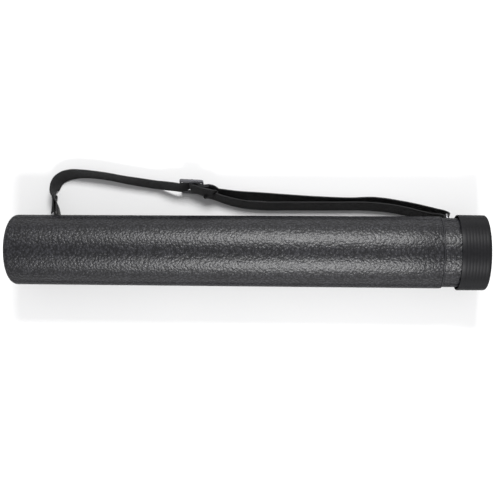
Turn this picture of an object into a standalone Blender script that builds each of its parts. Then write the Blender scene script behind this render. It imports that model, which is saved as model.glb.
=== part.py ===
"""A telescoping drawing tube with a webbing shoulder strap, built in metres with +Z up.
The tube lies on its side along +X, closed end at x = 0 and cap at the far end, axis at y = z = 0."""

import math

import bmesh
import bpy
from mathutils import Matrix, Vector

# ---------------------------------------------------------------- driving dimensions
SEGMENTS = 72  # facets round every turned piece
GAP = 0.0003  # left between pieces that touch

OUTER_RADIUS = 0.045
OUTER_WALL = 0.0012
OUTER_LENGTH = 0.545
END_FILLET = 0.008

INNER_RADIUS = 0.04325
INNER_WALL = 0.0012
INNER_TAIL = 0.0200
INNER_END = 0.5975

MOUTH_RING_OUTER = 0.0447
MOUTH_RING_END = 0.5474

RIM = 0.5663  # open rim of the cap
CAP_END = 0.6017
CAP_RADIUS = 0.0471
CAP_TIP_RADIUS = 0.0468
CAP_WALL = 0.0013

FLOOR = -CAP_RADIUS  # the tube rests on its cap and its closed end

ANCHOR_ANGLE = math.radians(-40)  # from +Y, turning about +X: behind the tube and below its axis
LEFT_ANCHOR = 0.0456
RIGHT_ANCHOR = 0.5580
CLIP_THICKNESS = 0.0012
CLIP_WIDTH = 0.012
RING_WIRE = 0.00125
RING_INNER_BAR = 0.0023  # height of the ring's inner bar over the outer tube
RING_OUTER_BAR = 0.0090  # height of the bar that the webbing goes round
RIVET_RADIUS = 0.0015

WEB_WIDTH = 0.020
WEB_THICKNESS = 0.0014
WEB_LEAN = Vector((0, 0.47, 0.883))  # from its lower edge to its upper edge

SLIDER_CENTRE = Vector((0.2288, 0.0842, -0.0321))
SLIDER_TURN = math.radians(-3)
SLIDER_LENGTH = 0.0315
SLIDER_WIDTH = 0.0320
SLIDER_BAR = 0.0025
# The webbing's way through the slider, in millimetres along the strap and out of the slider's face.
THROUGH_SLIDER = ((-22, 1.9), (-15.6, 2.5), (-12.6, 2.0), (-6.5, -1.5), (0, -4.5))
THROUGH_SLIDER += ((6.5, -2.0), (12.6, 1.95), (16, 2.6), (22, 1.6))


# ---------------------------------------------------------------- scene and materials
def clear_scene():
    for ob in list(bpy.data.objects):
        bpy.data.objects.remove(ob, do_unlink=True)


def material(name, colour, roughness, metallic=0.0):
    mat = bpy.data.materials.new(name)
    mat.use_nodes = True
    shader = mat.node_tree.nodes["Principled BSDF"]
    shader.inputs["Base Color"].default_value = (*colour, 1.0)
    shader.inputs["Roughness"].default_value = roughness
    shader.inputs["Metallic"].default_value = metallic
    return mat


def add_object(name, data, mat):
    ob = bpy.data.objects.new(name, data)
    PART.objects.link(ob)
    if mat:
        data.materials.append(mat)
    return ob


def smooth(mesh):
    for polygon in mesh.polygons:
        polygon.use_smooth = True


# ---------------------------------------------------------------- shape helpers
def turned(name, profile, closed, mat):
    """A profile of (x along the tube, radius), turned about the tube's axis."""
    bm = bmesh.new()
    verts = [bm.verts.new((radius, 0, along)) for along, radius in profile]
    for a, b in zip(verts, verts[1:]):
        bm.edges.new((a, b))
    if closed:
        bm.edges.new((verts[-1], verts[0]))
    mesh = bpy.data.meshes.new(name)
    bm.to_mesh(mesh)
    bm.free()
    ob = add_object(name, mesh, mat)
    ob.rotation_euler = (0, math.pi / 2, 0)
    screw = ob.modifiers.new("turn", "SCREW")
    screw.steps = SEGMENTS
    screw.render_steps = SEGMENTS
    screw.use_merge_vertices = True
    screw.merge_threshold = 0.00001
    screw.use_smooth_shade = True
    return ob


def arc(centre, radius, start, end, count):
    """Points (along, radius) round a corner, angles in degrees from +along."""
    points = []
    for i in range(count + 1):
        a = math.radians(start + (end - start) * i / count)
        points.append((centre[0] + radius * math.cos(a), centre[1] + radius * math.sin(a)))
    return points


def outline(name, loops, half_depth, mat):
    """A flat closed outline, with any holes, given a thickness."""
    curve = bpy.data.curves.new(name, "CURVE")
    curve.dimensions = "2D"
    curve.fill_mode = "BOTH"
    curve.extrude = half_depth
    for loop in loops:
        spline = curve.splines.new("POLY")
        spline.points.add(len(loop) - 1)
        for point, (x, y) in zip(spline.points, loop):
            point.co = (x, y, 0, 1)
        spline.use_cyclic_u = True
    return add_object(name, curve, mat)


def wire(name, points, radius, mat):
    """A round wire bent into a closed ring."""
    curve = bpy.data.curves.new(name, "CURVE")
    curve.dimensions = "3D"
    curve.bevel_depth = radius
    curve.bevel_resolution = 3
    spline = curve.splines.new("POLY")
    spline.points.add(len(points) - 1)
    for point, co in zip(spline.points, points):
        point.co = (*co, 1)
    spline.use_cyclic_u = True
    return add_object(name, curve, mat)


def rounded_rectangle(half_x, half_y, radius, steps=4):
    points = []
    corners = ((1, 1, 0), (-1, 1, 90), (-1, -1, 180), (1, -1, 270))
    for sx, sy, start in corners:
        for i in range(steps + 1):
            a = math.radians(start + 90 * i / steps)
            x = sx * (half_x - radius) + radius * math.cos(a)
            y = sy * (half_y - radius) + radius * math.sin(a)
            points.append((x, y))
    return points


def frame_at(origin, x_axis, y_axis):
    """The matrix that puts local X, Y and Z on x_axis, y_axis and their cross product."""
    x = Vector(x_axis).normalized()
    y = Vector(y_axis).normalized()
    z = x.cross(y)
    turn = Matrix((x, y, z)).transposed().to_4x4()
    return Matrix.Translation(origin) @ turn


def heading(places, i):
    """The way a smooth line runs at its i-th place, weighted towards the nearer neighbour."""
    before = places[i] - places[max(i - 1, 0)]
    after = places[min(i + 1, len(places) - 1)] - places[i]
    if before.length == 0:
        return after.normalized()
    if after.length == 0:
        return before.normalized()
    near = before / before.length * after.length + after / after.length * before.length
    return near / (before.length + after.length)


def ribbon(name, stations, width, thickness, mat, substeps=4):
    """A flat band through stations of (place, direction from lower edge to upper edge)."""
    places = [Vector(s[0]) for s in stations]
    widths = [Vector(s[1]).normalized() for s in stations]
    line = []
    for i in range(len(places) - 1):
        p1, p2 = places[i], places[i + 1]
        long = (p2 - p1).length
        m1 = heading(places, i) * long
        m2 = heading(places, i + 1) * long
        for k in range(substeps):
            t = k / substeps
            p = p1 * (2 * t**3 - 3 * t**2 + 1) + m1 * (t**3 - 2 * t**2 + t)
            p += p2 * (3 * t**2 - 2 * t**3) + m2 * (t**3 - t**2)
            line.append((p, widths[i].lerp(widths[i + 1], t)))
    line.append((places[-1], widths[-1]))
    bm = bmesh.new()
    bmesh.ops.create_grid(bm, x_segments=len(line) - 1, y_segments=1, size=0.5)
    columns = sorted({round(v.co.x, 6) for v in bm.verts})
    for v in bm.verts:
        i = min(range(len(columns)), key=lambda k: abs(columns[k] - v.co.x))
        place, across = line[i]
        ahead = (line[min(i + 1, len(line) - 1)][0] - line[max(i - 1, 0)][0]).normalized()
        across = (across - ahead * across.dot(ahead)).normalized()
        lowest = place.z - across.z * width / 2 - thickness / 2
        lift = Vector((0, 0, max(0, FLOOR + 0.0001 - lowest)))
        v.co = place + lift + across * (width / 2 if v.co.y > 0 else -width / 2)
    mesh = bpy.data.meshes.new(name)
    bm.to_mesh(mesh)
    bm.free()
    smooth(mesh)
    ob = add_object(name, mesh, mat)
    solid = ob.modifiers.new("thickness", "SOLIDIFY")
    solid.thickness = thickness
    solid.offset = 0
    return ob


# ---------------------------------------------------------------- the tube
def make_outer_tube():
    inner = OUTER_RADIUS - OUTER_WALL
    fillet_in = END_FILLET - OUTER_WALL
    profile = [(OUTER_WALL, 0)]
    profile += arc((END_FILLET, inner - fillet_in), fillet_in, 180, 90, 6)
    profile += [(OUTER_LENGTH, inner), (OUTER_LENGTH, OUTER_RADIUS)]
    profile += arc((END_FILLET, OUTER_RADIUS - END_FILLET), END_FILLET, 90, 180, 8)
    profile += [(0, 0)]
    return turned("outer_tube", profile, False, PEBBLED)


def make_mouth_ring():
    start = OUTER_LENGTH + GAP
    inside = INNER_RADIUS + 0.0004
    edge = 0.0004
    profile = [
        (MOUTH_RING_END, MOUTH_RING_OUTER - edge),
        (MOUTH_RING_END - edge, MOUTH_RING_OUTER),
        (start, MOUTH_RING_OUTER),
        (start, inside),
        (MOUTH_RING_END, inside),
    ]
    return turned("mouth_ring", profile, True, SMOOTH_PLASTIC)


def make_inner_tube():
    inside = INNER_RADIUS - INNER_WALL
    profile = [
        (INNER_END, INNER_RADIUS),
        (INNER_TAIL, INNER_RADIUS),
        (INNER_TAIL, inside),
        (INNER_END, inside),
    ]
    return turned("inner_tube", profile, True, PEBBLED)


def make_tail_ring():
    outside = OUTER_RADIUS - OUTER_WALL - 0.00035
    inside = INNER_RADIUS - 0.0035
    spigot = INNER_RADIUS - INNER_WALL - 0.0004
    flange = INNER_TAIL - GAP
    profile = [
        (flange, outside),
        (flange - 0.0060, outside),
        (flange - 0.0060, inside),
        (INNER_TAIL + 0.0080, inside),
        (INNER_TAIL + 0.0080, spigot),
        (flange, spigot),
    ]
    return turned("tail_ring", profile, True, SMOOTH_PLASTIC)


def make_neck_collar():
    inside = INNER_RADIUS + GAP
    outside = CAP_TIP_RADIUS - CAP_WALL - 0.0004
    end = INNER_END - 0.0010
    start = RIM + 0.0060
    profile = [
        (end - 0.0010, outside),
        (start + 0.0010, outside),
        (start, outside - 0.0008),
        (start, inside),
        (end, inside),
        (end, outside - 0.0008),
    ]
    return turned("neck_collar", profile, True, SMOOTH_PLASTIC)


def make_cap_shell():
    corner = 0.0030
    inner_corner = corner - CAP_WALL
    lip = 0.0004
    profile = [(CAP_END, 0)]
    profile += arc((CAP_END - corner, CAP_TIP_RADIUS - corner), corner, 0, 90, 6)
    profile += [(RIM + lip, CAP_RADIUS), (RIM, CAP_RADIUS - lip), (RIM, CAP_RADIUS - CAP_WALL)]
    top = CAP_END - corner
    profile += arc((top, CAP_TIP_RADIUS - corner), inner_corner, 90, 0, 4)
    profile += [(CAP_END - CAP_WALL, 0)]
    return turned("cap_shell", profile, False, CAP_PLASTIC)


def make_cap_liner():
    outside = CAP_TIP_RADIUS - 0.0036
    face = CAP_END - CAP_WALL - GAP
    profile = [(face, 0), (face, outside), (face - 0.0020, outside), (face - 0.0020, 0)]
    return turned("cap_liner", profile, False, FOAM)


# ---------------------------------------------------------------- strap anchors
def radial():
    return Vector((0, math.cos(ANCHOR_ANGLE), math.sin(ANCHOR_ANGLE)))


def tangential():
    return Vector((0, -math.sin(ANCHOR_ANGLE), math.cos(ANCHOR_ANGLE)))


def clip_outline(left_foot, right_foot):
    """A strip with an arch over the ring's inner bar, as (along the tube, height)."""
    low = GAP
    high = low + CLIP_THICKNESS
    bore = RING_WIRE + 0.0005
    arch = bore + CLIP_THICKNESS
    middle = RING_INNER_BAR
    points = [(left_foot, low), (-bore, low)]
    points += [(-bore, middle)]
    for i in range(1, 8):
        a = math.pi - math.pi * i / 8
        points.append((bore * math.cos(a), middle + bore * math.sin(a)))
    points += [(bore, middle), (bore, low), (right_foot, low), (right_foot, high)]
    points += [(arch, high), (arch, middle)]
    for i in range(1, 8):
        a = math.pi * i / 8
        points.append((arch * math.cos(a), middle + arch * math.sin(a)))
    points += [(-arch, middle), (-arch, high), (left_foot, high)]
    return points


def make_clip(name, along, left_foot, right_foot):
    ob = outline(name, [clip_outline(left_foot, right_foot)], CLIP_WIDTH / 2, CLIP_METAL)
    base = Vector((along, 0, 0)) + radial() * OUTER_RADIUS
    ob.matrix_world = frame_at(base, (1, 0, 0), radial())
    return as_mesh(ob)


def as_mesh(ob):
    """A curve can't be cut, so its shape is kept as a mesh of the same name."""
    name = ob.name
    place = ob.matrix_world.copy()
    bpy.context.view_layer.update()
    mesh = bpy.data.meshes.new_from_object(ob.evaluated_get(bpy.context.evaluated_depsgraph_get()))
    mats = [m for m in ob.data.materials]
    bpy.data.objects.remove(ob, do_unlink=True)
    bm = bmesh.new()
    bm.from_mesh(mesh)
    bmesh.ops.remove_doubles(bm, verts=bm.verts, dist=0.000001)
    bm.to_mesh(mesh)
    bm.free()
    mesh.name = name
    mesh.materials.clear()
    new = add_object(name, mesh, mats[0])
    new.matrix_world = place
    return new


def drill(ob, along, radius):
    """A round hole through ob, along the anchor's direction."""
    name = f"cutter_{ob.name}_{round(along * 1000)}"
    mesh = bpy.data.meshes.new(name)
    bm = bmesh.new()
    bmesh.ops.create_cone(
        bm, cap_ends=True, segments=16, radius1=radius, radius2=radius, depth=0.006
    )
    bm.to_mesh(mesh)
    bm.free()
    cutter = bpy.data.objects.new(name, mesh)
    CUTTERS.objects.link(cutter)
    centre = Vector((along, 0, 0)) + radial() * OUTER_RADIUS
    cutter.matrix_world = frame_at(centre, (1, 0, 0), -tangential())
    cutter.hide_render = True
    cutter.display_type = "WIRE"
    cut = ob.modifiers.new("hole", "BOOLEAN")
    cut.operation = "DIFFERENCE"
    cut.solver = "EXACT"
    cut.object = cutter


def make_rivet(name, along):
    """A domed head over the clip and a shank that ends flush inside the tube's wall."""
    base = GAP + CLIP_THICKNESS + GAP
    bottom = -OUTER_WALL + 0.0002
    bm = bmesh.new()
    profile = [
        (0, base + 0.0011),
        (0.0013, base + 0.0009),
        (0.0022, base + 0.0004),
        (0.0025, base),
        (RIVET_RADIUS, base),
        (RIVET_RADIUS, bottom),
        (0, bottom),
    ]
    verts = [bm.verts.new((r, 0, h)) for r, h in profile]
    for a, b in zip(verts, verts[1:]):
        bm.edges.new((a, b))
    mesh = bpy.data.meshes.new(name)
    bm.to_mesh(mesh)
    bm.free()
    ob = add_object(name, mesh, RIVET_METAL)
    centre = Vector((along, 0, 0)) + radial() * OUTER_RADIUS
    ob.matrix_world = frame_at(centre, (1, 0, 0), -tangential())
    screw = ob.modifiers.new("turn", "SCREW")
    screw.steps = 20
    screw.render_steps = 20
    screw.use_merge_vertices = True
    screw.merge_threshold = 0.00001
    screw.use_smooth_shade = True
    return ob


def make_ring(name, along):
    """A rectangular wire ring. Its inner bar lies under the clip and its outer bar holds the webbing."""
    half = WEB_WIDTH / 2 + 0.0022
    middle = (RING_INNER_BAR + RING_OUTER_BAR) / 2
    reach = (RING_OUTER_BAR - RING_INNER_BAR) / 2
    points = [(x, y, 0) for x, y in rounded_rectangle(half, reach, 0.0014, 3)]
    ob = wire(name, points, RING_WIRE, RING_METAL)
    centre = Vector((along, 0, 0)) + radial() * (OUTER_RADIUS + middle)
    ob.matrix_world = frame_at(centre, tangential(), radial())
    return ob


# ---------------------------------------------------------------- webbing and slider
def resting(x, y, lean=WEB_LEAN):
    """A station of the webbing standing on its lower edge on the floor, in millimetres."""
    across = Vector(lean).normalized()
    z = FLOOR + 0.0004 + across.z * WEB_WIDTH / 2
    return (Vector((x / 1000, y / 1000, z)), across)


def raised(x, y, z, lean):
    return (Vector((x, y, z)) / 1000, Vector(lean).normalized())


def slider_axes():
    ahead = Vector((math.cos(SLIDER_TURN), math.sin(SLIDER_TURN), 0))
    across = WEB_LEAN - ahead * WEB_LEAN.dot(ahead)
    across.normalize()
    return ahead, across, ahead.cross(across)


def at_slider(along, out):
    """A station in the slider's own axes, in millimetres: along the strap, and out of its face."""
    ahead, across, normal = slider_axes()
    return (SLIDER_CENTRE + ahead * along / 1000 + normal * out / 1000, across)


def wrap(centre, toward, side, radius, across):
    """Half a turn of webbing round a bar, on its far side from toward, in five stations."""
    stations = []
    for i in range(5):
        a = math.pi * i / 4
        place = centre + side * radius * math.cos(a) - toward * radius * math.sin(a)
        stations.append((place, across))
    return stations


def strap_stations():
    across = tangential()
    left_bar = Vector((LEFT_ANCHOR, 0, 0)) + radial() * (OUTER_RADIUS + RING_OUTER_BAR)
    right_bar = Vector((RIGHT_ANCHOR, 0, 0)) + radial() * (OUTER_RADIUS + RING_OUTER_BAR)
    s = [
        raised(44.2, 73, -38.3, (0.04, 0.25, 0.96)),
        raised(44.3, 66.5, -38.1, (0.13, 0.25, 0.96)),
        raised(47.6, 59, -38.0, (0.12, 0.30, 0.94)),
        raised(49.1, 52.5, -37.5, (0.10, 0.42, 0.90)),
    ]
    s += wrap(left_bar, radial(), Vector((1, 0, 0)), 0.0030, across)
    s += [
        raised(42.0, 52.5, -37.5, (0.10, 0.42, 0.90)),
        raised(42.4, 59, -38.0, (0.12, 0.30, 0.94)),
        raised(42.3, 66.5, -38.1, (0.13, 0.25, 0.96)),
        raised(42.1, 73, -38.3, (0.04, 0.25, 0.96)),
        resting(42.3, 79.5, (-0.23, 0.20, 0.94)),
        resting(43.9, 85, (-0.42, 0.18, 0.88)),
        resting(47.9, 92.4, (-0.37, 0.38, 0.84)),
        resting(56.4, 98.2, (-0.28, 0.50, 0.81)),
        resting(67.5, 100.9, (-0.14, 0.54, 0.83)),
        resting(81, 101.3, (-0.05, 0.45, 0.89)),
        resting(98, 100, (0, 0.41, 0.91)),
        resting(118, 97.2, (0, 0.41, 0.91)),
        resting(138, 93.4, (0, 0.43, 0.90)),
        resting(158, 90.2),
        resting(181, 86.8),
    ]
    s += [at_slider(*place) for place in THROUGH_SLIDER]
    s += [
        resting(260.5, 77.2),
        resting(269.5, 75.8),
        resting(285, 73.8),
        resting(321, 71.4),
        resting(358, 68.8),
        resting(400, 66.3),
        resting(438, 65.2),
        resting(465.5, 66),
        resting(484.5, 64),
        resting(500.5, 61.3),
        resting(514.5, 58.7),
        resting(536, 53.8),
        resting(546.2, 51.3),
        raised(556.5, 47.8, -37.6, (0.05, 0.58, 0.81)),
        raised(562.1, 44.2, -36.4, (-0.10, 0.62, 0.78)),
    ]
    s += wrap(right_bar, radial(), Vector((1, 0, 0)), 0.0025, across)
    s += [
        raised(551.5, 42.8, -35.6, across),
        raised(542.5, 44.2, -37.2, (0, 0.60, 0.80)),
        resting(526.5, 48.4),
        resting(508.5, 53),
        resting(489.5, 56.6),
        resting(464, 59.2),
        resting(410, 59.6),
        resting(355, 59.5),
        resting(321, 59.6),
        resting(296.5, 61.6),
        resting(280.5, 64.8),
        resting(267, 68.8, (0, 0.44, 0.90)),
        resting(256.5, 72.4, (0, 0.42, 0.91)),
    ]
    s += [at_slider(21, 8.4), at_slider(14.5, 6.9), at_slider(8, 4.7)]
    ahead, width, normal = slider_axes()
    s += wrap(SLIDER_CENTRE, ahead, normal, 0.0027, width)
    s += [at_slider(6.5, 0.0), at_slider(12.6, 3.95), at_slider(16, 4.6), at_slider(23, 3.6)]
    return s


def make_webbing():
    return ribbon("webbing", strap_stations(), WEB_WIDTH, WEB_THICKNESS, NYLON)


def make_slider():
    slot = (SLIDER_LENGTH / 2 - SLIDER_BAR * 1.5) / 2
    middle = SLIDER_BAR / 2 + slot
    half_slot = WEB_WIDTH / 2 + 0.0007
    loops = [rounded_rectangle(SLIDER_LENGTH / 2, SLIDER_WIDTH / 2, 0.003)]
    for side in (-1, 1):
        hole = rounded_rectangle(slot, half_slot, 0.0004, 1)
        loops.append([(x + side * middle, y) for x, y in hole])
    ob = outline("slider", loops, SLIDER_BAR / 2, SLIDER_PLASTIC)
    ahead, across, normal = slider_axes()
    ob.matrix_world = frame_at(SLIDER_CENTRE, ahead, across)
    return ob


def make_tack(name, station, ahead, lift):
    """A bar tack: a short close row of stitches lying on the webbing's face."""
    place, across = station
    ahead = Vector(ahead).normalized()
    across = (across - ahead * across.dot(ahead)).normalized()
    mesh = bpy.data.meshes.new(name)
    bm = bmesh.new()
    bmesh.ops.create_cube(bm, size=1.0)
    bmesh.ops.scale(bm, verts=bm.verts, vec=(0.0035, 0.015, 0.0005))
    bm.to_mesh(mesh)
    bm.free()
    ob = add_object(name, mesh, THREAD)
    frame = frame_at(place, ahead, across)
    ob.matrix_world = Matrix.Translation(frame.col[2].xyz * lift) @ frame
    return ob


# ---------------------------------------------------------------- build
clear_scene()
PART = bpy.data.collections.new("drawing_tube")
CUTTERS = bpy.data.collections.new("cutters")
bpy.context.scene.collection.children.link(PART)
bpy.context.scene.collection.children.link(CUTTERS)

PEBBLED = material("pebbled black plastic", (0.055, 0.055, 0.062), 0.42)
SMOOTH_PLASTIC = material("smooth black plastic", (0.05, 0.05, 0.055), 0.35)
CAP_PLASTIC = material("moulded cap plastic", (0.022, 0.022, 0.025), 0.38)
FOAM = material("liner foam", (0.04, 0.04, 0.04), 0.9)
CLIP_METAL = material("black painted steel", (0.03, 0.03, 0.03), 0.45, 1.0)
RIVET_METAL = material("rivet steel", (0.35, 0.35, 0.36), 0.35, 1.0)
RING_METAL = material("ring wire", (0.30, 0.30, 0.31), 0.3, 1.0)
NYLON = material("nylon webbing", (0.008, 0.008, 0.009), 0.8)
SLIDER_PLASTIC = material("slider plastic", (0.10, 0.10, 0.105), 0.25)
THREAD = material("black thread", (0.012, 0.012, 0.013), 0.7)

outer_tube = make_outer_tube()
make_mouth_ring()
make_inner_tube()
make_tail_ring()
make_neck_collar()
make_cap_shell()
make_cap_liner()

make_clip("left_clip", LEFT_ANCHOR, -0.012, 0.012)
make_clip("right_clip", RIGHT_ANCHOR, -0.0445, 0.0070)
RIVETS = {
    "left_rivet_1": ("left_clip", LEFT_ANCHOR - 0.008),
    "left_rivet_2": ("left_clip", LEFT_ANCHOR + 0.008),
    "right_rivet_1": ("right_clip", RIGHT_ANCHOR - 0.0395),
    "right_rivet_2": ("right_clip", RIGHT_ANCHOR - 0.0245),
}
for rivet, (clip, along) in RIVETS.items():
    make_rivet(rivet, along)
    drill(PART.objects[clip], along, RIVET_RADIUS + GAP)
    drill(outer_tube, along, RIVET_RADIUS + GAP)

make_ring("left_ring", LEFT_ANCHOR)
make_ring("right_ring", RIGHT_ANCHOR)
make_webbing()
make_slider()

left_end = raised(44.2, 70.2, -38.2, (0.08, 0.25, 0.96))
make_tack("left_tack", left_end, (0, 1, 0), 0.0014)
make_tack("slider_tack", at_slider(20, 4.1), slider_axes()[0], 0.0014)
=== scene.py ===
# %% Load the frame
import math

import bmesh
import bpy
from mathutils import Matrix, Vector


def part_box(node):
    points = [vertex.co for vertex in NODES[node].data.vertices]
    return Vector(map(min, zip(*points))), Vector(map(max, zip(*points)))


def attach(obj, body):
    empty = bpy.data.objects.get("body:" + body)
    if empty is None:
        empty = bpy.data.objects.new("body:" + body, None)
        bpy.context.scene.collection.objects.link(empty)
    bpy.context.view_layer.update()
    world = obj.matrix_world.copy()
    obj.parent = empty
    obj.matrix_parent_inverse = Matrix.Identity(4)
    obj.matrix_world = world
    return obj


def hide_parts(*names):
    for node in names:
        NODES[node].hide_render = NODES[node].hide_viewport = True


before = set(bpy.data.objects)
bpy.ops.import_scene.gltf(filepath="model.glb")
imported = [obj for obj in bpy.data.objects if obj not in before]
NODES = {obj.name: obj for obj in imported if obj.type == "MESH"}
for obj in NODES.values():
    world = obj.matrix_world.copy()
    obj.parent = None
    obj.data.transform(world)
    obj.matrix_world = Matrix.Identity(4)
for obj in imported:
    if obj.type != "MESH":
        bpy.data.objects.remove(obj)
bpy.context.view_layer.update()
COLLECTION = bpy.context.scene.collection

# %% [markdown]
# The object is a telescoping drawing tube that lies on its side. Its axis runs along +X at y = z = 0, with
# the closed end at x = 0 and the cap at the far end. Every size below is in metres, and the sizes of the
# turned pieces are read from the loaded frame, so that a new surface always sits where the solid one was.

# %% Sizes read from the frame
tube_low, tube_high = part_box("outer_tube")
TUBE_RADIUS = (tube_high[2] - tube_low[2]) / 2
MOUTH = tube_high[0]
cap_low, cap_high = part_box("cap_shell")
CAP_RADIUS = (cap_high[2] - cap_low[2]) / 2
RIM = cap_low[0]
CAP_END = cap_high[0]
inner_low, inner_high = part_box("inner_tube")
INNER_RADIUS = (inner_high[2] - inner_low[2]) / 2
FLOOR = -CAP_RADIUS
print("tube radius", round(TUBE_RADIUS, 5), "mouth", round(MOUTH, 4), "cap", round(RIM, 4), round(CAP_END, 4))

# %% [markdown]
# The camera looks almost straight down at the tube, as a copy stand does, with the strap lying behind it. A
# 62 mm lens from 1.10 m keeps the two ends nearly the same size. The stand leans four degrees, so the cap
# is a little nearer the lens than the closed end.

# %% Camera
TARGET = Vector((0.3077, 0.0014, 0))
LEAN = math.radians(3.9)
ROLL = 0.0072
DISTANCE = 1.100
FOCAL_LENGTH = 62.28  # millimetres, as is the sensor
SENSOR_WIDTH = 36
back = Vector((math.sin(LEAN), 0, math.cos(LEAN)))
up = Vector((-ROLL, 1, 0))
right = up.cross(back).normalized()
up = back.cross(right)
lens = bpy.data.cameras.new("copy_stand_camera")
lens.lens = FOCAL_LENGTH
lens.sensor_width = SENSOR_WIDTH
camera = bpy.data.objects.new("copy_stand_camera", lens)
COLLECTION.objects.link(camera)
stand = Matrix((right, up, back)).transposed().to_4x4()
camera.matrix_world = Matrix.Translation(TARGET + back * DISTANCE) @ stand
bpy.context.scene.camera = camera
bpy.context.scene.view_settings.view_transform = "Standard"
print("camera at", [round(v, 3) for v in camera.location])

# %% [markdown]
# Materials are built from shader nodes. Two small helpers keep that short: one turns an sRGB hex colour
# into the linear numbers that a shader wants, and one adds a node with its settings and links. A value that
# is the same all over a surface goes straight on the shader's own socket.


# %% Colour and node helpers
def linear(hex_colour):
    channels = [int(hex_colour[i : i + 2], 16) / 255 for i in (1, 3, 5)]
    out = [c / 12.92 if c <= 0.04045 else ((c + 0.055) / 1.055) ** 2.4 for c in channels]
    return (*out, 1.0)


def add_node(mat, kind, settings=None, **links):
    """A node of one kind. settings are its attributes, and links its inputs: values or other nodes' outputs."""
    node = mat.node_tree.nodes.new(kind)
    for key, value in (settings or {}).items():
        setattr(node, key, value)
    for key, value in links.items():
        socket = node.inputs[int(key[1:])] if key[1:].isdigit() else node.inputs[key.replace("_", " ")]
        if isinstance(value, bpy.types.NodeSocket):
            mat.node_tree.links.new(value, socket)
        else:
            socket.default_value = value
    return node


def new_material(name, roughness, metallic=0.0, ior=1.5):
    mat = bpy.data.materials.new(name)
    mat.use_nodes = True
    shader = mat.node_tree.nodes["Principled BSDF"]
    shader.inputs["Roughness"].default_value = roughness
    shader.inputs["Metallic"].default_value = metallic
    if metallic < 0.5:
        shader.inputs["IOR"].default_value = ior
    return mat, shader


def join(mat, output, socket):
    mat.node_tree.links.new(output, socket)


def two_tone(mat, factor, dark, pale, low=0.3, high=0.7):
    """A colour ramp between two hex colours."""
    ramp = add_node(mat, "ShaderNodeValToRGB", None, Fac=factor)
    ramp.color_ramp.elements[0].position = low
    ramp.color_ramp.elements[0].color = linear(dark)
    ramp.color_ramp.elements[1].position = high
    ramp.color_ramp.elements[1].color = linear(pale)
    return ramp.outputs["Color"]


def fade_gloss(mat, shader, level):
    """Lowers the gloss towards the outline, from level to almost none. It is a choice of look."""
    facing = add_node(mat, "ShaderNodeLayerWeight", None, Blend=0.5).outputs["Facing"]
    gloss = add_node(
        mat, "ShaderNodeMapRange", None, Value=facing, From_Min=0.22, From_Max=0.6, To_Min=level, To_Max=0.03
    )
    join(mat, gloss.outputs["Result"], shader.inputs["Specular IOR Level"])


print("helpers ready, mid grey is", [round(c, 3) for c in linear("#808080")][:3])

# %% [markdown]
# The tubes are extruded HDPE, embossed with a leather-like pebble while warm. To the eye it is a satin
# black with grains about 3 mm across, each with its own tiny highlight, so the long reflections break into
# sparkle. Cells from a Voronoi texture make the pebbles, a noise texture bends their outlines, and a finer
# noise roughens them.


# %% Pebbled plastic
MULTIPLY_ADD = {"operation": "MULTIPLY_ADD"}
MULTIPLY = {"operation": "MULTIPLY"}


def pebbled_plastic(name, dark, pale, strength):
    mat, shader = new_material(name, 0.40)
    place = add_node(mat, "ShaderNodeTexCoord").outputs["Object"]
    fade_gloss(mat, shader, 0.44)
    wobble = add_node(mat, "ShaderNodeTexNoise", None, Vector=place, Scale=420.0, Detail=2.0)
    linear_light = {"blend_type": "LINEAR_LIGHT"}
    bent = add_node(
        mat, "ShaderNodeMixRGB", linear_light, Fac=0.0012, Color1=place, Color2=wobble.outputs["Color"]
    )
    # a scale of 330 makes cells of 1 / 330 m, so the pebbles are about 3 mm across
    smooth = {"feature": "SMOOTH_F1"}
    pebble = add_node(mat, "ShaderNodeTexVoronoi", smooth, Vector=bent.outputs[0], Scale=330.0, Smoothness=0.5)
    grain = add_node(mat, "ShaderNodeTexNoise", None, Vector=place, Scale=650.0, Detail=3.0, Roughness=0.6)
    cloud = add_node(mat, "ShaderNodeTexNoise", None, Vector=place, Scale=35.0, Detail=4.0)
    height = pebble.outputs["Distance"]
    relief = add_node(mat, "ShaderNodeMath", MULTIPLY_ADD, _0=grain.outputs["Fac"], _1=-0.6, _2=height)
    bump = add_node(
        mat, "ShaderNodeBump", {"invert": True}, Strength=strength, Distance=0.00042, Height=relief.outputs[0]
    )
    join(mat, bump.outputs["Normal"], shader.inputs["Normal"])
    # The base colour is darker in the valleys between the pebbles, which is painted shade, and it also varies
    # at random with a large cloud noise.
    tone_and_valley_shade = add_node(mat, "ShaderNodeMath", MULTIPLY_ADD, _0=cloud.outputs["Fac"], _1=0.5, _2=height)
    join(mat, two_tone(mat, tone_and_valley_shade.outputs[0], pale, dark, 0.35, 0.85), shader.inputs["Base Color"])
    rough = add_node(mat, "ShaderNodeMapRange", None, Value=grain.outputs["Fac"], To_Min=0.30, To_Max=0.44)
    join(mat, rough.outputs["Result"], shader.inputs["Roughness"])
    return mat


PEBBLED = pebbled_plastic("pebbled HDPE, embossed", "#0b0b0e", "#27272b", 1.0)
print("made", PEBBLED.name)

# %% [markdown]
# The cap, the mouth ring and the hidden rings are moulded polypropylene, smoother and darker than the
# tubes. A moulded part shows a faint mottling from the tool and very fine scuffs, so its roughness changes
# slightly.


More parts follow.
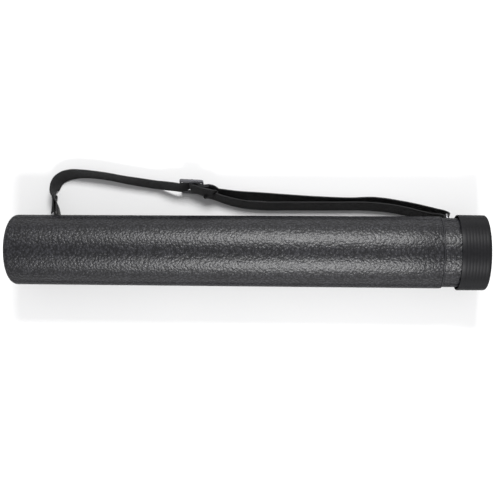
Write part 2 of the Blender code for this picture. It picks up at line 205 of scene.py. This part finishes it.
# %% Moulded plastics, foam and metals
def moulded_plastic(name, dark, pale, low, high):
    mat, shader = new_material(name, (low + high) / 2)
    place = add_node(mat, "ShaderNodeTexCoord").outputs["Object"]
    mottle = add_node(mat, "ShaderNodeTexNoise", None, Vector=place, Scale=160.0, Detail=5.0, Roughness=0.65)
    fine = add_node(mat, "ShaderNodeTexNoise", None, Vector=place, Scale=1500.0, Detail=2.0)
    join(mat, two_tone(mat, mottle.outputs["Fac"], dark, pale, 0.25, 0.75), shader.inputs["Base Color"])
    rough = add_node(mat, "ShaderNodeMapRange", None, Value=mottle.outputs["Fac"], To_Min=low, To_Max=high)
    join(mat, rough.outputs["Result"], shader.inputs["Roughness"])
    bump = add_node(mat, "ShaderNodeBump", None, Strength=0.25, Distance=0.00008, Height=fine.outputs["Fac"])
    join(mat, bump.outputs["Normal"], shader.inputs["Normal"])
    return mat


def worked_steel(name, dark, pale, metallic, low, high):
    """Steel with the fine scratches that drawing or stamping leaves along it."""
    mat, shader = new_material(name, (low + high) / 2, metallic)
    place = add_node(mat, "ShaderNodeTexCoord").outputs["Object"]
    drawn = add_node(mat, "ShaderNodeMapping", None, Vector=place, Scale=(300.0, 2200.0, 2200.0))
    scratch = add_node(mat, "ShaderNodeTexNoise", None, Vector=drawn.outputs[0], Scale=1.0, Detail=4.0)
    join(mat, two_tone(mat, scratch.outputs["Fac"], dark, pale), shader.inputs["Base Color"])
    rough = add_node(mat, "ShaderNodeMapRange", None, Value=scratch.outputs["Fac"], To_Min=low, To_Max=high)
    join(mat, rough.outputs["Result"], shader.inputs["Roughness"])
    lines = scratch.outputs["Fac"]
    bump = add_node(mat, "ShaderNodeBump", None, Strength=0.2, Distance=0.00005, Height=lines)
    join(mat, bump.outputs["Normal"], shader.inputs["Normal"])
    return mat


CAP_PLASTIC = moulded_plastic("moulded polypropylene, cap", "#0e0e10", "#151517", 0.42, 0.52)
fade_gloss(CAP_PLASTIC, CAP_PLASTIC.node_tree.nodes["Principled BSDF"], 0.16)
RING_PLASTIC = moulded_plastic("moulded polypropylene, rings", "#1c1c1f", "#262629", 0.30, 0.42)
# The slider is dark plastic. This mid grey makes all of it as pale as the lit face of its rail: a painted
# highlight.
SLIDER_PAINTED_LIT_GREY = moulded_plastic("moulded acetal, slider", "#4a4a4e", "#5a5a5e", 0.16, 0.26)
FOAM = moulded_plastic("EVA foam, skived", "#242427", "#2e2e31", 0.85, 0.95)
CLIP_STEEL = worked_steel("painted steel, stamped", "#161618", "#222225", 0.0, 0.35, 0.5)
RIVET_STEEL = worked_steel("plated steel, headed", "#8c8c8e", "#a8a8aa", 1.0, 0.25, 0.4)
WIRE_STEEL = worked_steel("nickel plated wire, drawn", "#9a9a9c", "#b8b8ba", 1.0, 0.18, 0.32)
fade_gloss(RING_PLASTIC, RING_PLASTIC.node_tree.nodes["Principled BSDF"], 0.40)
print("made 7 moulded, foam and metal finishes")

# %% [markdown]
# The strap is nylon webbing in a plain weave, almost black. Its ribs run across the band every 1.2 mm, and
# its selvages are thicker and catch a thin line of light. The pattern follows the band through its UV map,
# which is measured in metres: U along the length and V across the width.


# %% Nylon webbing and thread
WEB_WIDTH = 0.020
WEB_THICKNESS = 0.0014
RIB_PITCH = 0.0012
YARN_PITCH = 0.0016


def nylon_webbing():
    mat, shader = new_material("nylon webbing, woven", 0.72)
    uv = add_node(mat, "ShaderNodeUVMap", {"uv_map": "band"}).outputs["UV"]
    along = add_node(mat, "ShaderNodeSeparateXYZ", None, Vector=uv)
    rib = add_node(mat, "ShaderNodeMath", MULTIPLY, _0=along.outputs["X"], _1=2 * math.pi / RIB_PITCH)
    yarn = add_node(mat, "ShaderNodeMath", MULTIPLY, _0=along.outputs["Y"], _1=2 * math.pi / YARN_PITCH)
    shifted = add_node(mat, "ShaderNodeMath", {"operation": "SINE"}, _0=yarn.outputs[0])
    phase = add_node(mat, "ShaderNodeMath", MULTIPLY_ADD, _0=shifted.outputs[0], _1=0.9, _2=rib.outputs[0])
    weave = add_node(mat, "ShaderNodeMath", {"operation": "SINE"}, _0=phase.outputs[0])
    cord = add_node(mat, "ShaderNodeMath", {"operation": "COSINE"}, _0=yarn.outputs[0])
    height = add_node(mat, "ShaderNodeMath", MULTIPLY_ADD, _0=cord.outputs[0], _1=0.5, _2=weave.outputs[0])
    fuzz = add_node(mat, "ShaderNodeTexNoise", None, Vector=uv, Scale=2600.0, Detail=3.0)
    fibres = fuzz.outputs["Fac"]
    surface = add_node(mat, "ShaderNodeMath", MULTIPLY_ADD, _0=fibres, _1=0.8, _2=height.outputs[0])
    bump = add_node(mat, "ShaderNodeBump", None, Strength=0.6, Distance=0.00018, Height=surface.outputs[0])
    join(mat, bump.outputs["Normal"], shader.inputs["Normal"])
    # The colour is paler on the crests of the weave and darker in its hollows: painted shade on yarn of one
    # colour.
    shade = add_node(mat, "ShaderNodeMapRange", None, Value=height.outputs[0], From_Min=-1.5, From_Max=1.5)
    colour = two_tone(mat, shade.outputs["Result"], "#0b0b0c", "#161618", 0.1, 0.9)
    join(mat, colour, shader.inputs["Base Color"])
    shader.inputs["Sheen Weight"].default_value = 0.06
    shader.inputs["Sheen Roughness"].default_value = 0.4
    return mat


def sewing_thread():
    mat, shader = new_material("bonded nylon thread, twisted", 0.6)
    place = add_node(mat, "ShaderNodeTexCoord").outputs["Object"]
    # ply twist about every 0.6 mm
    twist = add_node(
        mat, "ShaderNodeTexWave", {"bands_direction": "DIAGONAL"}, Vector=place, Scale=1600.0, Distortion=2.0
    )
    # The colour is paler on the plies and darker in the grooves of the twist: painted shade.
    join(mat, two_tone(mat, twist.outputs["Fac"], "#101012", "#242427"), shader.inputs["Base Color"])
    bump = add_node(mat, "ShaderNodeBump", None, Strength=0.4, Distance=0.0001, Height=twist.outputs["Fac"])
    join(mat, bump.outputs["Normal"], shader.inputs["Normal"])
    return mat


NYLON = nylon_webbing()
THREAD = sewing_thread()
print("made", NYLON.name, "and", THREAD.name)

# %% [markdown]
# The webbing is one length. It is sewn round the left ring, runs to the slider, weaves through it, goes on
# to the right ring, comes back as the front layer and is sewn round the slider's middle bar. A flat strap
# is best modelled directly: a narrow grid is laid along stations, each with a place and the direction
# across the band. Where the band runs free it stands on its lower edge on the floor and leans away from the
# tube, and it twists near the ring.


# %% The strap's route
ANCHOR_ANGLE = math.radians(-40)
RADIAL = Vector((0, math.cos(ANCHOR_ANGLE), math.sin(ANCHOR_ANGLE)))
TANGENTIAL = Vector((0, -math.sin(ANCHOR_ANGLE), math.cos(ANCHOR_ANGLE)))
LEFT_ANCHOR = 0.0456
RIGHT_ANCHOR = 0.5580
RING_BAR = TUBE_RADIUS + 0.0090
WEB_LEAN = Vector((0, 0.47, 0.883))
SLIDER_CENTRE = Vector((0.2288, 0.0842, -0.0321))
SLIDER_TURN = math.radians(-3)


def resting(x, y, lean=WEB_LEAN):
    """A station on the floor, x and y in millimetres."""
    across = Vector(lean).normalized()
    return (Vector((x / 1000, y / 1000, FLOOR + 0.0004 + across.z * WEB_WIDTH / 2)), across)


def raised(x, y, z, lean):
    return (Vector((x, y, z)) / 1000, Vector(lean).normalized())


def slider_axes():
    ahead = Vector((math.cos(SLIDER_TURN), math.sin(SLIDER_TURN), 0))
    across = (WEB_LEAN - ahead * WEB_LEAN.dot(ahead)).normalized()
    return ahead, across, ahead.cross(across)


def at_slider(along, out):
    ahead, across, normal = slider_axes()
    return (SLIDER_CENTRE + ahead * along / 1000 + normal * out / 1000, across)


def wrap(centre, toward, side, radius, across):
    """Half a turn round a bar, on its far side from toward."""
    angles = [math.pi * i / 4 for i in range(5)]
    return [(centre + side * radius * math.cos(a) - toward * radius * math.sin(a), across) for a in angles]


print("slider axes", [[round(c, 3) for c in axis] for axis in slider_axes()])


# %% The strap's stations
def strap_stations():
    left_bar = Vector((LEFT_ANCHOR, 0, 0)) + RADIAL * RING_BAR
    right_bar = Vector((RIGHT_ANCHOR, 0, 0)) + RADIAL * RING_BAR
    s = [raised(44.2, 73, -38.3, (0.04, 0.25, 0.96)), raised(44.3, 66.5, -38.1, (0.13, 0.25, 0.96))]
    s += [raised(47.6, 59, -38.0, (0.12, 0.30, 0.94)), raised(49.1, 52.5, -37.5, (0.10, 0.42, 0.90))]
    s += wrap(left_bar, RADIAL, Vector((1, 0, 0)), 0.0030, TANGENTIAL)
    s += [raised(42.0, 52.5, -37.5, (0.10, 0.42, 0.90)), raised(42.4, 59, -38.0, (0.12, 0.30, 0.94))]
    s += [raised(42.3, 66.5, -38.1, (0.13, 0.25, 0.96)), raised(42.1, 73, -38.3, (0.04, 0.25, 0.96))]
    s += [resting(42.3, 79.5, (-0.23, 0.20, 0.94)), resting(43.9, 85, (-0.42, 0.18, 0.88))]
    s += [resting(47.9, 92.4, (-0.37, 0.38, 0.84)), resting(56.4, 98.2, (-0.28, 0.50, 0.81))]
    s += [resting(67.5, 100.9, (-0.14, 0.54, 0.83)), resting(81, 101.3, (-0.05, 0.45, 0.89))]
    s += [resting(98, 100, (0, 0.41, 0.91)), resting(118, 97.2, (0, 0.41, 0.91))]
    s += [resting(138, 93.4, (0, 0.43, 0.90)), resting(158, 90.2), resting(181, 86.8)]
    s += [at_slider(a, b) for a, b in ((-22, 1.9), (-15.6, 2.5), (-12.6, 2.0), (-6.5, -1.5), (0, -4.5))]
    s += [at_slider(a, b) for a, b in ((6.5, -2.0), (12.6, 1.95), (16, 2.6), (22, 1.6))]
    s += [resting(x, y) for x, y in ((260.5, 77.2), (269.5, 75.8), (285, 73.8), (321, 71.4), (358, 68.8))]
    s += [resting(x, y) for x, y in ((400, 66.3), (438, 65.2), (465.5, 66), (484.5, 64), (500.5, 61.3))]
    s += [resting(x, y) for x, y in ((514.5, 58.7), (536, 53.8), (546.2, 51.3))]
    s += [raised(556.5, 47.8, -37.6, (0.05, 0.58, 0.81)), raised(562.1, 44.2, -36.4, (-0.10, 0.62, 0.78))]
    s += wrap(right_bar, RADIAL, Vector((1, 0, 0)), 0.0025, TANGENTIAL)
    s += [raised(551.5, 42.8, -35.6, TANGENTIAL), raised(542.5, 44.2, -37.2, (0, 0.60, 0.80))]
    s += [resting(x, y) for x, y in ((526.5, 48.4), (508.5, 53), (489.5, 56.6), (464, 59.2), (410, 59.6))]
    s += [resting(x, y) for x, y in ((355, 59.5), (321, 59.6), (296.5, 61.6), (280.5, 64.8))]
    s += [resting(267, 68.8, (0, 0.44, 0.90)), resting(256.5, 72.4, (0, 0.42, 0.91))]
    s += [at_slider(21, 8.4), at_slider(14.5, 6.9), at_slider(8, 4.7)]
    ahead, across, normal = slider_axes()
    s += wrap(SLIDER_CENTRE, ahead, normal, 0.0027, across)
    return s + [at_slider(6.5, 0.0), at_slider(12.6, 3.95), at_slider(16, 4.6), at_slider(23, 3.6)]


print(len(strap_stations()), "stations along the strap")


# %% A smooth line through the stations
def heading(places, i):
    before = places[i] - places[max(i - 1, 0)]
    after = places[min(i + 1, len(places) - 1)] - places[i]
    if before.length == 0:
        return after.normalized()
    if after.length == 0:
        return before.normalized()
    near = before / before.length * after.length + after / after.length * before.length
    return near / (before.length + after.length)


def smooth_line(stations, substeps):
    places = [s[0] for s in stations]
    line = []
    for i in range(len(places) - 1):
        p1, p2 = places[i], places[i + 1]
        m1, m2 = (heading(places, k) * (p2 - p1).length for k in (i, i + 1))
        for k in range(substeps):
            t = k / substeps
            p = p1 * (2 * t**3 - 3 * t**2 + 1) + m1 * (t**3 - 2 * t**2 + t)
            p += p2 * (3 * t**2 - 2 * t**3) + m2 * (t**3 - t**2)
            line.append((p, stations[i][1].lerp(stations[i + 1][1], t)))
    return line + [stations[-1]]


LINE = smooth_line(strap_stations(), 8)


# %% Lay the webbing along the line
def lay_webbing():
    bm = bmesh.new()
    bmesh.ops.create_grid(bm, x_segments=len(LINE) - 1, y_segments=8, size=0.5)
    uv = bm.loops.layers.uv.new("band")
    step = 1 / (len(LINE) - 1)
    travelled = [0.0]
    for a, b in zip(LINE, LINE[1:]):
        travelled.append(travelled[-1] + (b[0] - a[0]).length)
    cell = {v: (round((v.co.x + 0.5) / step), v.co.y) for v in bm.verts}
    for face in bm.faces:
        for loop in face.loops:
            i, y = cell[loop.vert]
            loop[uv].uv = (travelled[i], y * WEB_WIDTH)
    for v, (i, y) in cell.items():
        place, across = LINE[i]
        ahead = (LINE[min(i + 1, len(LINE) - 1)][0] - LINE[max(i - 1, 0)][0]).normalized()
        across = (across - ahead * across.dot(ahead)).normalized()
        lowest = place.z - across.z * WEB_WIDTH / 2 - WEB_THICKNESS / 2
        lift = Vector((0, 0, max(0, FLOOR + 0.0001 - lowest)))
        v.co = place + lift + across * y * WEB_WIDTH
    mesh = bpy.data.meshes.new("shoulder_webbing")
    bm.to_mesh(mesh)
    bm.free()
    return mesh


def add_piece(name, data, mat, body, stands_for):
    """A piece at the origin that rides on a body, in place of the solid it stands for."""
    ob = bpy.data.objects.new(name, data)
    COLLECTION.objects.link(ob)
    data.materials.append(mat)
    for polygon in getattr(data, "polygons", []):
        polygon.use_smooth = True
    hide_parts(stands_for)
    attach(ob, body)
    return ob


webbing = add_piece("shoulder_webbing", lay_webbing(), NYLON, "outer", "webbing")
thick = webbing.modifiers.new("thickness", "SOLIDIFY")
thick.thickness = WEB_THICKNESS
thick.offset = 0
selvage = webbing.modifiers.new("selvage", "BEVEL")
selvage.width = 0.0004
selvage.segments = 2
selvage.limit_method = "ANGLE"
selvage.angle_limit = math.radians(50)
print("webbing faces", len(webbing.data.polygons))

# %% [markdown]
# A bar tack is a short, dense zigzag that closes a sewn loop. One bevelled curve does for each: a thread
# goes to and fro across the band, a little over its face.


# %% Bar tacks
THREAD_RADIUS = 0.00022
TACK_WIDTH = 0.0148
TACK_LENGTH = 0.0033
TACK_PASSES = 26
TACK_LIFT = 0.00105


def bar_tack(name, station, ahead, node):
    place, across = station
    ahead = Vector(ahead).normalized()
    across = (across - ahead * across.dot(ahead)).normalized()
    out = ahead.cross(across)
    curve = bpy.data.curves.new(name, "CURVE")
    curve.dimensions = "3D"
    curve.bevel_depth = THREAD_RADIUS
    curve.bevel_resolution = 2
    curve.use_fill_caps = True
    spline = curve.splines.new("POLY")
    spline.points.add(TACK_PASSES - 1)
    for i, point in enumerate(spline.points):
        side = TACK_WIDTH / 2 if i % 2 else -TACK_WIDTH / 2
        along = -TACK_LENGTH / 2 + TACK_LENGTH * i / (TACK_PASSES - 1)
        point.co = (*(place + ahead * along + across * side + out * TACK_LIFT), 1)
    return add_piece(name, curve, THREAD, "outer", node)


left_seam = raised(44.2, 70.2, -38.2, (0.08, 0.25, 0.96))
left_stitches = bar_tack("left_loop_stitches", left_seam, (0, 1, 0), "left_tack")
slider_stitches = bar_tack("slider_loop_stitches", at_slider(20, 4.1), slider_axes()[0], "slider_tack")
print("made 2 bar tacks")

# %% [markdown]

# %% [markdown]
# Everything turned, the tubes, rings and cap, is a profile spun about the tube's axis. A spin in 160 steps
# keeps the long highlights smooth. The profile is a chain of points (x along the tube, radius), so each
# bead, chamfer and groove is a few points on it.

# %% Spin a profile
SPIN_STEPS = 160


def spun(name, profile, closed, mat, body, stands_for):
    bm = bmesh.new()
    verts = [bm.verts.new((x, 0, radius)) for x, radius in profile]
    edges = [bm.edges.new(pair) for pair in zip(verts, verts[1:])]
    if closed:
        edges.append(bm.edges.new((verts[-1], verts[0])))
    bmesh.ops.spin(
        bm,
        geom=verts + edges,
        cent=(0, 0, 0),
        axis=(1, 0, 0),
        angle=2 * math.pi,
        steps=SPIN_STEPS,
        use_merge=True,
    )
    bmesh.ops.remove_doubles(bm, verts=bm.verts, dist=0.000002)
    bmesh.ops.recalc_face_normals(bm, faces=bm.faces)
    mesh = bpy.data.meshes.new(name)
    bm.to_mesh(mesh)
    bm.free()
    ob = add_piece(name, mesh, mat, body, stands_for)
    mesh.set_sharp_from_angle(angle=math.radians(35))
    return ob


def corner(x, r, radius, start, end, steps):
    """Points round a corner, angles in degrees from +x towards larger radius."""
    angles = [math.radians(start + (end - start) * i / steps) for i in range(steps + 1)]
    return [(x + radius * math.cos(a), r + radius * math.sin(a)) for a in angles]


flat = 2 * math.pi * TUBE_RADIUS / SPIN_STEPS
print("spin steps", SPIN_STEPS, "give flats of", round(flat * 1000, 2), "mm")

# %% [markdown]
# The outer tube is closed at its left end with an 8 mm rounded corner, and its wall is 1.2 mm. The sawn
# mouth has a small chamfer, which shows as a dark line next to the mouth ring.

# %% Outer tube and mouth ring
WALL = 0.0012
END_FILLET = 0.008
bore = TUBE_RADIUS - WALL
profile = [(WALL, 0)] + corner(END_FILLET, bore - END_FILLET + WALL, END_FILLET - WALL, 180, 90, 8)
profile += [(MOUTH - 0.0002, bore), (MOUTH, bore + 0.0002), (MOUTH, TUBE_RADIUS - 0.0005)]
profile += [(MOUTH - 0.0002, TUBE_RADIUS - 0.0001), (MOUTH - 0.0006, TUBE_RADIUS)]
profile += [(MOUTH * k / 12, TUBE_RADIUS) for k in range(11, 0, -1)]
profile += corner(END_FILLET, TUBE_RADIUS - END_FILLET, END_FILLET, 90, 180, 12) + [(0, 0)]
spun("outer_tube_skin", profile, False, PEBBLED, "outer", "outer_tube")

ring_low, ring_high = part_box("mouth_ring")
ring_radius = (ring_high[2] - ring_low[2]) / 2
profile = [(ring_low[0] + 0.0001, INNER_RADIUS + 0.0004), (ring_low[0] + 0.0001, ring_radius - 0.0006)]
profile += corner((ring_low[0] + ring_high[0]) / 2, ring_radius - 0.0009, 0.0009, 160, 20, 8)
profile += [(ring_high[0], ring_radius - 0.0008), (ring_high[0], INNER_RADIUS + 0.0004)]
spun("mouth_bead", profile, True, RING_PLASTIC, "outer", "mouth_ring")
print("outer tube and mouth bead made, bead radius", round(ring_radius, 4))

# %% [markdown]
# The inner tube has the same embossed skin. Its neck shows between the mouth and the cap. Inside it, the
# tail ring guides it in the bore, and the collar on its other end is what the cap grips.

# %% Inner tube and its rings
inside = INNER_RADIUS - WALL
tail, neck_end = inner_low[0], inner_high[0]
profile = [(neck_end, inside + 0.0002), (neck_end, INNER_RADIUS - 0.0002), (neck_end - 0.0002, INNER_RADIUS)]
profile += [(tail + (neck_end - tail) * k / 12, INNER_RADIUS) for k in range(11, 0, -1)]
profile += [(tail, INNER_RADIUS), (tail, inside), (neck_end - 0.0002, inside)]
spun("inner_tube_skin", profile, True, PEBBLED, "inner", "inner_tube")

guide_low, guide_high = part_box("tail_ring")
guide_radius = (guide_high[2] - guide_low[2]) / 2
flange, spigot_end = tail - 0.0003, guide_high[0]
profile = [(flange, guide_radius - 0.0004), (flange - 0.0004, guide_radius)]
profile += [(guide_low[0] + 0.0006, guide_radius), (guide_low[0], guide_radius - 0.0006)]
profile += [(guide_low[0], INNER_RADIUS - 0.0035), (spigot_end, INNER_RADIUS - 0.0035)]
profile += [(spigot_end, inside - 0.0008), (spigot_end - 0.0008, inside - 0.0004), (flange, inside - 0.0004)]
spun("guide_ring", profile, True, RING_PLASTIC, "guide", "tail_ring")

collar_low, collar_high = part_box("neck_collar")
collar_radius = (collar_high[2] - collar_low[2]) / 2
a, b = collar_low[0], collar_high[0]
profile = [(b, INNER_RADIUS + 0.0003), (b, collar_radius - 0.0008), (b - 0.0010, collar_radius)]
for groove in range(4):
    x = b - 0.0045 - groove * 0.0045
    profile += [(x + 0.0008, collar_radius), (x + 0.0004, collar_radius - 0.0005)]
    profile += [(x - 0.0004, collar_radius - 0.0005), (x - 0.0008, collar_radius)]
profile += [(a + 0.0010, collar_radius), (a, collar_radius - 0.0008), (a, INNER_RADIUS + 0.0003)]
spun("grip_collar", profile, True, RING_PLASTIC, "inner", "neck_collar")
print("inner tube from", round(tail, 3), "to", round(neck_end, 4), "with 2 rings")

# %% [markdown]
# The cap is a thin shell with an open rim that stands clear of the neck. Fine grip rings run round it every
# 3.8 mm, and its end has a 3 mm rounded edge. A foam liner lies under its end.

# %% Cap
CAP_WALL = 0.0013
CAP_TIP = CAP_RADIUS - 0.0003
CAP_CORNER = 0.0030


def cap_radius_at(x):
    return CAP_RADIUS + (CAP_TIP - CAP_RADIUS) * (x - RIM) / (CAP_END - RIM)


profile = [(CAP_END, 0), (CAP_END, 0.02)]
profile += corner(CAP_END - CAP_CORNER, CAP_TIP - CAP_CORNER, CAP_CORNER, 0, 90, 10)
for ring in range(7):
    x = CAP_END - 0.0062 - ring * 0.0038
    for shift, depth in ((0.0006, 0), (0.0002, 0.00006), (-0.0002, 0.00006), (-0.0006, 0)):
        profile.append((x + shift, cap_radius_at(x) - depth))
profile += [(RIM + 0.0005, CAP_RADIUS), (RIM + 0.0001, CAP_RADIUS - 0.0002), (RIM, CAP_RADIUS - 0.0005)]
profile += [(RIM, CAP_RADIUS - CAP_WALL + 0.0001), (RIM + 0.0003, CAP_RADIUS - CAP_WALL)]
profile += corner(CAP_END - CAP_CORNER, CAP_TIP - CAP_CORNER, CAP_CORNER - CAP_WALL, 90, 0, 6)
profile += [(CAP_END - CAP_WALL, 0)]
spun("cap_skin", profile, False, CAP_PLASTIC, "cap", "cap_shell")

liner_low, liner_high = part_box("cap_liner")
liner_radius = (liner_high[2] - liner_low[2]) / 2
profile = [(liner_high[0], 0), (liner_high[0], liner_radius - 0.0004), (liner_high[0] - 0.0004, liner_radius)]
profile += [(liner_low[0] + 0.0004, liner_radius), (liner_low[0], liner_radius - 0.0004), (liner_low[0], 0)]
spun("foam_disc", profile, False, FOAM, "cap", "cap_liner")
print("cap radius", round(CAP_RADIUS, 4), "with 7 grip rings")

# %% [markdown]
# The slider and the two clips already have the right shape in the frame. Each gets a copy with its doubled
# points merged and its flat facets dissolved, so that a bevel can round every edge as moulding or stamping
# does.


# %% Slider and clips
def softened(name, node, mat, body, width):
    mesh = NODES[node].data.copy()
    mesh.name = name
    bm = bmesh.new()
    bm.from_mesh(mesh)
    bmesh.ops.remove_doubles(bm, verts=bm.verts, dist=0.000002)
    bmesh.ops.dissolve_limit(bm, angle_limit=math.radians(1), verts=bm.verts, edges=bm.edges)
    bm.to_mesh(mesh)
    bm.free()
    mesh.materials.clear()
    ob = add_piece(name, mesh, mat, body, node)
    mesh.set_sharp_from_angle(angle=math.radians(35))
    edge = ob.modifiers.new("edges", "BEVEL")
    edge.width = width
    edge.segments = 3
    edge.limit_method = "ANGLE"
    edge.angle_limit = math.radians(40)
    edge.harden_normals = True
    return ob


softened("strap_slider", "slider", SLIDER_PAINTED_LIT_GREY, "outer", 0.0006)
softened("left_clip_plate", "left_clip", CLIP_STEEL, "outer", 0.00025)
softened("right_clip_plate", "right_clip", CLIP_STEEL, "outer", 0.00025)
print("softened the slider and 2 clips")

# %% [markdown]
# The two rings are bent from 2.5 mm wire. A bevelled curve gives a round wire, and each ring follows a
# rounded rectangle in the plane of the anchor. The rivets keep their turned shape and get a plated finish.


# %% Rings and rivets
WIRE_RADIUS = 0.00125
RING_HALF_WIDTH = WEB_WIDTH / 2 + 0.0022
RING_HALF_REACH = 0.00335
RING_BEND = 0.0014
RING_MIDDLE = TUBE_RADIUS + 0.00565


def wire_ring(name, node, anchor):
    curve = bpy.data.curves.new(name, "CURVE")
    curve.dimensions = "3D"
    curve.bevel_depth = WIRE_RADIUS
    curve.bevel_resolution = 5
    spline = curve.splines.new("POLY")
    middle = Vector((anchor, 0, 0)) + RADIAL * RING_MIDDLE
    points = []
    for sx, sy, start in ((1, 1, 0), (-1, 1, 90), (-1, -1, 180), (1, -1, 270)):
        for i in range(7):
            angle = math.radians(start + 90 * i / 6)
            x = sx * (RING_HALF_WIDTH - RING_BEND) + RING_BEND * math.cos(angle)
            y = sy * (RING_HALF_REACH - RING_BEND) + RING_BEND * math.sin(angle)
            points.append(middle + TANGENTIAL * x + RADIAL * y)
    spline.points.add(len(points) - 1)
    for point, co in zip(spline.points, points):
        point.co = (*co, 1)
    spline.use_cyclic_u = True
    return add_piece(name, curve, WIRE_STEEL, "outer", node)


wire_ring("left_wire_ring", "left_ring", LEFT_ANCHOR)
wire_ring("right_wire_ring", "right_ring", RIGHT_ANCHOR)
for rivet in ("left_rivet_1", "left_rivet_2", "right_rivet_1", "right_rivet_2"):
    NODES[rivet].data.materials.clear()
    NODES[rivet].data.materials.append(RIVET_STEEL)
print("made 2 rings, finished 4 rivets")

# %% [markdown]
# The table is plain and white, bright enough to read as white. Two soft lights, 0.6 by 0.4 m, stand either
# side of the tube at about 45 degrees. They draw the two long highlights along it, one each side of its top
# line.

# %% Floor
bm = bmesh.new()
bmesh.ops.create_grid(bm, x_segments=1, y_segments=1, size=4)
bmesh.ops.translate(bm, verts=bm.verts, vec=(0.3, 0, FLOOR - 0.0002))
floor_mesh = bpy.data.meshes.new("white_table")
bm.to_mesh(floor_mesh)
bm.free()
floor = bpy.data.objects.new("white_table", floor_mesh)
COLLECTION.objects.link(floor)
table_mat, table_shader = new_material("white laminate, matt", 0.9)
place = add_node(table_mat, "ShaderNodeTexCoord").outputs["Object"]
speckle = add_node(table_mat, "ShaderNodeTexNoise", None, Vector=place, Scale=3.0, Detail=3.0)
table_white = two_tone(table_mat, speckle.outputs["Fac"], "#e4e4e4", "#e8e8e8")
join(table_mat, table_white, table_shader.inputs["Base Color"])
table_shader.inputs["Specular IOR Level"].default_value = 0.0
floor_mesh.materials.append(table_mat)
print("table at z =", round(FLOOR, 4))


# %% Lights
LIGHT_AIM = Vector((0.38, 0, 0))
LIGHT_SIZE = (0.6, 0.4)
LIGHT_POWER = 25
ROOM_LIGHT = 0.4


def soft_light(name, place):
    data = bpy.data.lights.new(name, "AREA")
    data.shape = "RECTANGLE"
    data.size, data.size_y = LIGHT_SIZE
    data.energy = LIGHT_POWER
    ob = bpy.data.objects.new(name, data)
    COLLECTION.objects.link(ob)
    direction = (LIGHT_AIM - Vector(place)).normalized()
    side = Vector((1, 0, 0))
    normal = -direction
    upward = normal.cross(side).normalized()
    side = upward.cross(normal)
    ob.matrix_world = Matrix.Translation(place) @ Matrix((side, upward, normal)).transposed().to_4x4()


soft_light("light_behind", (0.38, 1.02, 1.08))
soft_light("light_in_front", (0.38, -1.06, 1.04))
world = bpy.data.worlds.new("studio")
bpy.context.scene.world = world
world.use_nodes = True
world.node_tree.nodes["Background"].inputs["Color"].default_value = linear("#fdfdff")
world.node_tree.nodes["Background"].inputs["Strength"].default_value = ROOM_LIGHT
print("2 soft lights and the room's light")
